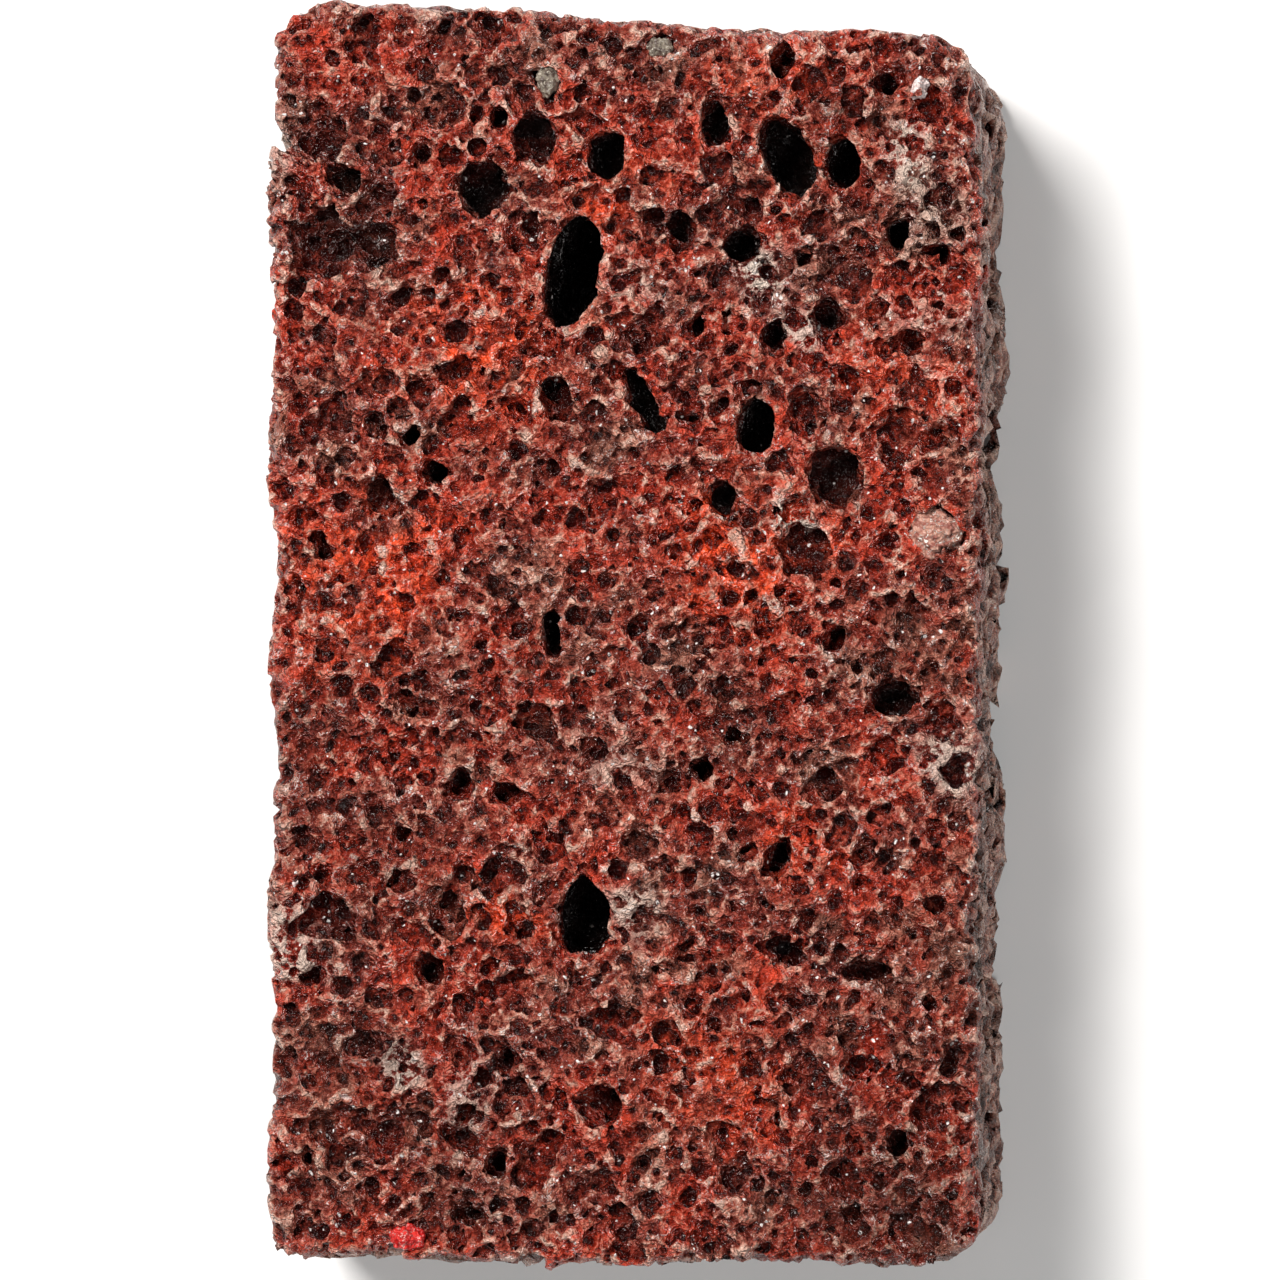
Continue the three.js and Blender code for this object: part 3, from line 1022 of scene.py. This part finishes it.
@dataclass(frozen=True)
class LavaFinish:
    """The stone's finish: rust reds over brown, pale worn rims, pits darkened with painted shade, and
    glints painted white as painted highlights.
    """

    brown: Colour = (118, 44, 34)
    brick: Colour = (160, 46, 29)
    orange: Colour = (222, 66, 28)
    grey: Colour = (122, 84, 70)
    dark: Colour = (54, 26, 19)
    # Grey-brown of the side walls, made darker as painted shade.
    wall: Colour = (74, 54, 45)
    pale: Colour = (230, 210, 194)
    rim: Colour = (204, 130, 108)
    edge: Colour = (240, 200, 180)
    # The next two colours darken the pits by depth: first the bubbles' own dark glassy floor,
    # deepened as painted shade, then painted black shadow in the deepest holes.
    floor: Colour = (58, 7, 4)
    pit_shadow_black: Colour = (15, 3, 2)
    # White of the tiny crystals, also used for painted glints and painted highlight streaks.
    crystal_and_glint: Colour = (255, 248, 244)

    def make(self) -> bpy.types.Material:
        """Makes the material."""
        n = Nodes("red_lava_stone")
        bent = n.stir(1.2, 0.9)
        wide = n.math("POWER", n.cells(0.9, "Distance", bent), 2.0)
        fine = n.math("POWER", n.cells(0.42, "Distance", bent), 2.0)
        worm = n.noise(0.5, 1.0, 1.6)
        pit = n.stored("pit")
        height = n.math("MULTIPLY_ADD", n.stored("fine_relief"), 1.7, -1.25)
        height = n.math("MULTIPLY_ADD", n.stored("wide_relief"), 0.4, height)
        height = n.math("MULTIPLY_ADD", wide, 1.1, height)
        height = n.math("MULTIPLY_ADD", fine, 0.9, height)
        height = n.math("MULTIPLY_ADD", n.noise(0.4, 3.0, 1.6), 1.5, height)
        colour = self._ground(n)
        # Painted shade in the hollows and partly painted light on the ridges, by their relief.
        colour = self._paint_relief_shade(n, colour, height)
        rim = n.math("MULTIPLY", n.span(height, 0.15, 0.65), n.span(pit, 2.6, 0.5))
        rim = n.math("MULTIPLY", rim, n.span(n.noise(1.6, 3.0), 0.36, 0.64))
        colour = n.mix(n.math("MULTIPLY", rim, 0.75), colour, linear(*self.rim))
        edge = n.math("MULTIPLY", rim, n.span(height, 0.6, 1.1))
        colour = n.mix(n.math("MULTIPLY", edge, 0.8), colour, linear(*self.edge))
        crust = n.math("MULTIPLY", n.stored("pale"), n.span(height, 0.0, 0.45))
        colour = n.mix(crust, colour, linear(*self.pale))
        # Partly the bubbles' own dark glassy floors and partly painted shade: colour darkens with
        # depth below the worn block, then turns to painted black shadow in the deepest holes.
        colour = n.mix(n.math("MULTIPLY", n.span(pit, 0.8, 3.4), 0.8), colour, linear(*self.floor))
        colour = n.mix(n.span(pit, 2.1, 4.8), colour, linear(*self.pit_shadow_black))
        dark = n.math("MULTIPLY", n.stored("dark"), n.span(n.noise(3.0), 0.25, 0.6))
        colour = n.mix(n.math("MULTIPLY", dark, 0.7), colour, linear(*self.dark))
        # Painted highlights: white curved streaks and glint specks put into the colour.
        colour = n.mix(self._glint(n, bent, height), colour, linear(*self.crystal_and_glint))
        rough = n.math("MULTIPLY_ADD", n.span(n.noise(0.9), 0.3, 0.7), 0.16, 0.14)
        relief = n.math("MULTIPLY_ADD", wide, 0.6, n.math("MULTIPLY", worm, 1.0))
        relief = n.math("MULTIPLY_ADD", fine, 0.34, relief)
        return n.finish(Base_Color=colour, Roughness=rough, IOR=1.55, Normal=n.bump(relief, 1.0))

    def _ground(self, n: Nodes) -> bpy.types.NodeSocket:
        """Mixes the stone's broad colours, with the walls below the front darker, partly their own
        grey-brown and partly painted shade.
        """
        colour = n.mix(n.span(n.noise(6.0, 4.0), 0.4, 0.6), linear(*self.brown), linear(*self.brick))
        patch = n.math("MULTIPLY", n.span(n.noise(4.2, 4.0), 0.54, 0.68), 0.55)
        grey = n.math("MULTIPLY", n.stored("grey"), n.span(n.noise(2.2), 0.3, 0.6))
        grey = n.math("MAXIMUM", grey, patch)
        colour = n.mix(grey, colour, linear(*self.grey))
        warm = n.math("MULTIPLY", n.stored("warm"), n.span(n.noise(1.8), 0.34, 0.6))
        colour = n.mix(warm, colour, linear(*self.orange))
        height = n.add("SeparateXYZ", 2, {}, {0: n.place})
        # The walls below the front turn darker grey-brown: partly their own colour, partly painted
        # shade.
        wall = n.span(height, 23.6 * MM, 19.0 * MM)
        return n.mix(n.math("MULTIPLY", wall, 0.75), colour, linear(*self.wall))

    def _paint_relief_shade(self, n: Nodes, colour: object, height: object) -> bpy.types.NodeSocket:
        """Darkens the bubbles' glassy floors with painted shade, and lightens what lies between them,
        partly as their own worn paleness and partly as painted light.
        """
        share = n.math("MULTIPLY_ADD", height, 0.5, 0.5)
        shade = n.add("ValToRGB", 0, {}, {0: share})
        ramp = shade.node.color_ramp
        ramp.elements[0].position = 0.16
        ramp.elements[0].color = (0.1, 0.035, 0.03, 1)
        ramp.elements[1].position = 0.85
        ramp.elements[1].color = (1.9, 2.3, 2.3, 1)
        middle = ramp.elements.new(0.5)
        middle.color = (0.85, 0.75, 0.72, 1)
        return n.mix(1.0, colour, shade, "MULTIPLY")

    def _glint(self, n: Nodes, bent: object, height: object) -> bpy.types.NodeSocket:
        """Picks what is painted white: curved streaks of painted highlight on the ridges, and a few
        tiny crystals that also stand in as painted glints.
        """
        line = n.math("ABSOLUTE", n.math("SUBTRACT", n.noise(0.9, 2.0, 1.5), 0.5))
        # Painted highlight: thin curved white streaks on the ridges.
        painted_streak = n.math("MULTIPLY", n.span(line, 0.035, 0.005), n.span(height, 0.0, 0.5))
        painted_streak = n.math("MULTIPLY", painted_streak, n.span(n.noise(1.3, 3.0), 0.5, 0.62))
        pick = n.add("SeparateColor", 0, {}, {0: n.cells(0.34, "Color", bent)})
        near = n.span(n.cells(0.34, "Distance", bent), 0.5, 0.3)
        rare = n.math("MULTIPLY_ADD", n.span(n.noise(2.2), 0.66, 0.42), 0.05, 0.955)
        crystal_and_glint = n.math("MULTIPLY", n.math("GREATER_THAN", pick, rare), near)
        return n.math("MAXIMUM", n.math("MULTIPLY", painted_streak, 0.6), crystal_and_glint)


# The grains ----------------------------------------------------------------------------------------


@dataclass(frozen=True)
class GrainFinish:
    """A mineral's finish.

    Attributes:
        slot: The record's material slot.
        base: Its usual colour.
        vein: The colour of its veins and flaws.
        fleck: The colour of its brightest flecks.
        roughness: How dull its surface is.
        lump: The size of its pattern, in millimetres.
    """

    slot: str
    base: Colour
    vein: Colour
    fleck: Colour
    roughness: float
    lump: float

    def make(self) -> bpy.types.Material:
        """Makes the material."""
        n = Nodes(self.slot)
        bent = n.stir(self.lump, self.lump * 0.6)
        veins = n.span(n.noise(self.lump, 4.0, 1.0), 0.4, 0.62)
        colour = n.mix(veins, linear(*self.base), linear(*self.vein))
        flecks = n.span(n.noise(self.lump * 0.5, 3.0, 1.5), 0.56, 0.66)
        colour = n.mix(flecks, colour, linear(*self.fleck))
        cells = n.math("POWER", n.cells(self.lump * 0.6, "Distance", bent), 2.0)
        crack = n.math("MULTIPLY", n.span(cells, 0.5, 0.85), 0.6)
        colour = n.mix(crack, colour, linear(*(value * 0.35 for value in self.vein)))
        relief = n.math("MULTIPLY_ADD", cells, -0.3 * self.lump, n.math("MULTIPLY", flecks, 0.08))
        rough = n.math("MULTIPLY_ADD", veins, 0.2, self.roughness)
        return n.finish(Base_Color=colour, Roughness=rough, Normal=n.bump(relief, 1.0))


@dataclass
class Grain:
    """A foreign mineral grain that the lava froze around.

    Attributes:
        node: The grain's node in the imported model.
        finish: Its finish.
        cuts: How many flat cleavage faces it has.
        seed: Picks its shape.
    """

    node: str
    finish: GrainFinish
    cuts: int
    seed: int

    def half_size(self) -> Vector:
        """Gives half the size of the grain's box, in millimetres."""
        low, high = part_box(self.node)
        return (high - low) / (2 * MM)

    def middle(self) -> Vector:
        """Gives the middle of the grain's box, in millimetres."""
        low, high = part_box(self.node)
        return (high + low) / (2 * MM)

    def socket(self) -> Bubble:
        """Gives the bubble that clears the grain's seat in the stone."""
        radii = tuple(value * 1.04 for value in self.half_size())
        return Bubble(tuple(self.middle()), radii, (0, 0, 0), self.seed)

    def build(self) -> bpy.types.Object:
        """Makes the grain: a worn lump with flat cleavage faces, cut and then softened."""
        rng = random.Random(self.seed)
        bm = bmesh.new()
        bmesh.ops.create_icosphere(bm, subdivisions=3, radius=1.12)
        for _ in range(self.cuts):
            way = Vector(rng.gauss(0, 1) for _ in range(3)).normalized()
            everything = bm.verts[:] + bm.edges[:] + bm.faces[:]
            cut = bmesh.ops.bisect_plane(
                bm,
                geom=everything,
                plane_co=way * rng.uniform(0.72, 0.9),
                plane_no=way,
                clear_outer=True,
            )
            rim = [item for item in cut["geom_cut"] if isinstance(item, bmesh.types.BMEdge)]
            bmesh.ops.holes_fill(bm, edges=rim, sides=0)
        bmesh.ops.triangulate(bm, faces=bm.faces)
        half = self.half_size()
        bmesh.ops.scale(bm, vec=half * MM, verts=bm.verts)
        bmesh.ops.translate(bm, vec=self.middle() * MM, verts=bm.verts)
        piece = from_bmesh(self.node + "_fine", bm)
        remesh(piece, 0.07)
        points = points_of(piece.data)
        rise = Ripple(0.13, 0.9, self.seed).at(points)
        rise += Ripple(0.05, 0.35, self.seed + 1).at(points)
        move_points(piece.data, points + normals_of(piece.data) * rise[:, None])
        piece.data.shade_smooth()
        piece.data.materials.append(self.finish.make())
        return piece


GREY_MINERAL = GrainFinish(
    slot="grey_glassy_mineral",
    base=(134, 124, 110),
    vein=(88, 74, 66),
    fleck=(196, 186, 170),
    roughness=0.2,
    lump=0.7,
)
WHITE_CRYSTAL = GrainFinish(
    slot="white_crystal",
    base=(236, 222, 218),
    vein=(206, 176, 170),
    fleck=(255, 250, 248),
    roughness=0.2,
    lump=0.8,
)
PALE_TUFF = GrainFinish(
    slot="pale_tuff",
    base=(188, 140, 122),
    vein=(144, 84, 72),
    fleck=(244, 236, 226),
    roughness=0.3,
    lump=0.7,
)
RED_OXIDE = GrainFinish(
    slot="red_iron_oxide",
    base=(222, 56, 50),
    vein=(170, 14, 14),
    fleck=(255, 178, 170),
    roughness=0.2,
    lump=0.8,
)

GRAINS = (
    Grain("grey_glass_grain", GREY_MINERAL, 7, 41),
    Grain("grey_rock_grain", GREY_MINERAL, 6, 42),
    Grain("white_feldspar_grain", WHITE_CRYSTAL, 9, 43),
    Grain("white_edge_grain", WHITE_CRYSTAL, 8, 44),
    Grain("pale_tuff_fragment", PALE_TUFF, 5, 45),
    Grain("red_oxide_nodule", RED_OXIDE, 5, 46),
)


# The studio ----------------------------------------------------------------------------------------


@dataclass(frozen=True)
class SoftLight:
    """A square lamp that looks at the bar.

    Attributes:
        name: Its name.
        place: Where it hangs, in metres.
        size: The length of its side, in metres.
        power: Its power in watts.
        colour: Its linear colour.
    """

    name: str
    place: Triple
    size: float
    power: float
    colour: Triple = (1.0, 1.0, 1.0)

    def hang(self, target: Vector) -> None:
        """Hangs the lamp so that it looks at a target."""
        lamp = bpy.data.lights.new(self.name, "AREA")
        lamp.size = self.size
        lamp.energy = self.power
        lamp.color = self.colour
        holder = bpy.data.objects.new(self.name, lamp)
        holder.location = self.place
        holder.rotation_euler = (target - holder.location).to_track_quat("-Z", "Y").to_euler()
        bpy.context.scene.collection.objects.link(holder)


@dataclass
class Studio:
    """The pale floor, the soft lamps and the camera that looks down on the bar.

    Attributes:
        lamps: The soft lamps.
        sky: The strength of the even light from all round.
        floor_colour: The colour of the floor.
        lens: The camera's focal length, in millimetres.
        sensor: The width of the camera's sensor, in millimetres.
        view_height: The height that the picture takes in at the bar's front, in millimetres.
        aim: Where the camera looks, right of and above the bar's middle, in millimetres.
        tilt: How far the camera leans to the right, in degrees.
    """

    lamps: tuple[SoftLight, ...] = (
        SoftLight("key", (-0.20, 0.25, 0.56), 0.22, 5.3, (1.0, 0.97, 0.95)),
        SoftLight("fill", (0.25, -0.16, 0.55), 0.14, 1.2),
    )
    sky: float = 0.16
    floor_colour: Colour = (244, 244, 243)
    lens: float = 200.0
    sensor: float = 36.0
    view_height: float = 100.3
    aim: tuple[float, float] = (1.52, -0.89)
    tilt: float = 7.2

    def lay_floor(self) -> None:
        """Lays the floor that the bar lies on."""
        bm = bmesh.new()
        bmesh.ops.create_grid(bm, x_segments=8, y_segments=8, size=2.0)
        floor = from_bmesh("floor", bm)
        n = Nodes("pale_floor")
        floor.data.materials.append(n.finish(Base_Color=linear(*self.floor_colour), Roughness=0.9))

    def light(self, target: Vector) -> None:
        """Hangs the lamps and lights the sky."""
        for lamp in self.lamps:
            lamp.hang(target)
        world = bpy.data.worlds.new("sky")
        world.use_nodes = True
        background = world.node_tree.nodes["Background"]
        background.inputs["Color"].default_value = (1.0, 1.0, 1.0, 1.0)
        background.inputs["Strength"].default_value = self.sky
        bpy.context.scene.world = world
        bpy.context.scene.view_settings.view_transform = "Standard"

    def aim_camera(self, target: Vector) -> None:
        """Sets the camera nearly straight over the front, tilted to show the right wall."""
        camera = bpy.data.cameras.new("camera")
        camera.lens = self.lens
        camera.sensor_width = self.sensor
        camera.clip_start = 0.01
        away = self.view_height * MM * self.lens / self.sensor
        tilt = math.radians(self.tilt)
        back = Vector((math.sin(tilt), 0, math.cos(tilt)))
        up = Vector((0, 1, 0))
        turn = Matrix((up.cross(back), up, back)).transposed()
        holder = bpy.data.objects.new("camera", camera)
        holder.matrix_world = Matrix.Translation(target + back * away) @ turn.to_4x4()
        bpy.context.scene.collection.objects.link(holder)
        bpy.context.scene.camera = holder


def place_piece(piece: bpy.types.Object, node: str) -> None:
    """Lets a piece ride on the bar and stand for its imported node."""
    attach(piece, ROOT)
    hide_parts(node)
    log.info("%s stands for %s: %d faces", piece.name, node, len(piece.data.polygons))


def main() -> None:
    """Builds the bar piece by piece, and the studio around it."""
    logging.basicConfig(level=logging.INFO, format="%(name)s: %(message)s")
    low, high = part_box(LavaStone.NODE)
    sockets = [grain.socket() for grain in GRAINS]
    packed = PackedStone(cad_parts[LavaStone.NODE].data)
    stone = LavaStone(low / MM, high / MM, sockets, packed.pores(sockets))
    piece = stone.build()
    piece.data.materials.append(LavaFinish().make())
    place_piece(piece, LavaStone.NODE)
    for grain in GRAINS:
        place_piece(grain.build(), grain.node)
    studio = Studio()
    target = Vector((studio.aim[0] * MM, studio.aim[1] * MM, high.z))
    studio.lay_floor()
    studio.light(target)
    studio.aim_camera(target)


if __name__ == "__main__":
    main()
